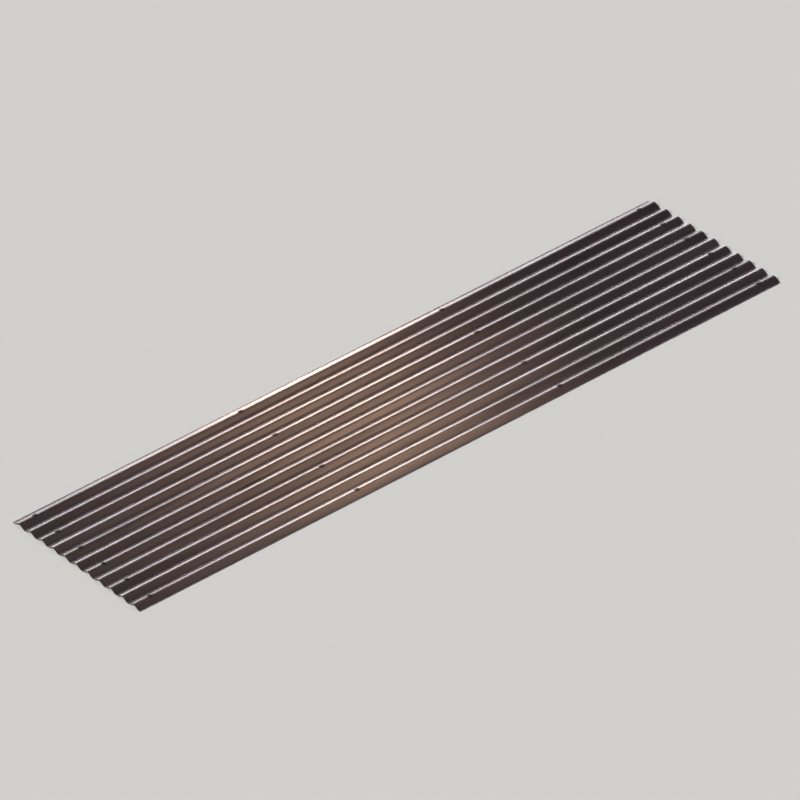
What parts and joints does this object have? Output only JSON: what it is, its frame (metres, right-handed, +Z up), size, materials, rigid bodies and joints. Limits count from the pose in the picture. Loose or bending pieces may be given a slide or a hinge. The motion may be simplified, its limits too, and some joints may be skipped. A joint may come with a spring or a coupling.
{
  "type": "corrugated roofing sheet",
  "caption": "Roll-formed sheet of dark painted steel with rounded lengthwise corrugations, drilled through its crests in rows for roofing screws.",
  "frame": {"origin": "under the middle of the sheet, level with the lowest line of its troughs", "axes": "+X along the corrugations, +Y across them, +Z up out of the weather face"},
  "size_m": [3, 0.848, 0.0165],
  "materials": {
    "sheet": "semi-gloss dark aubergine-grey coil coating, a little dusty in the troughs"
  },
  "bodies": {
    "root": {"sheet": "sheet"}
  },
  "joints": []
}
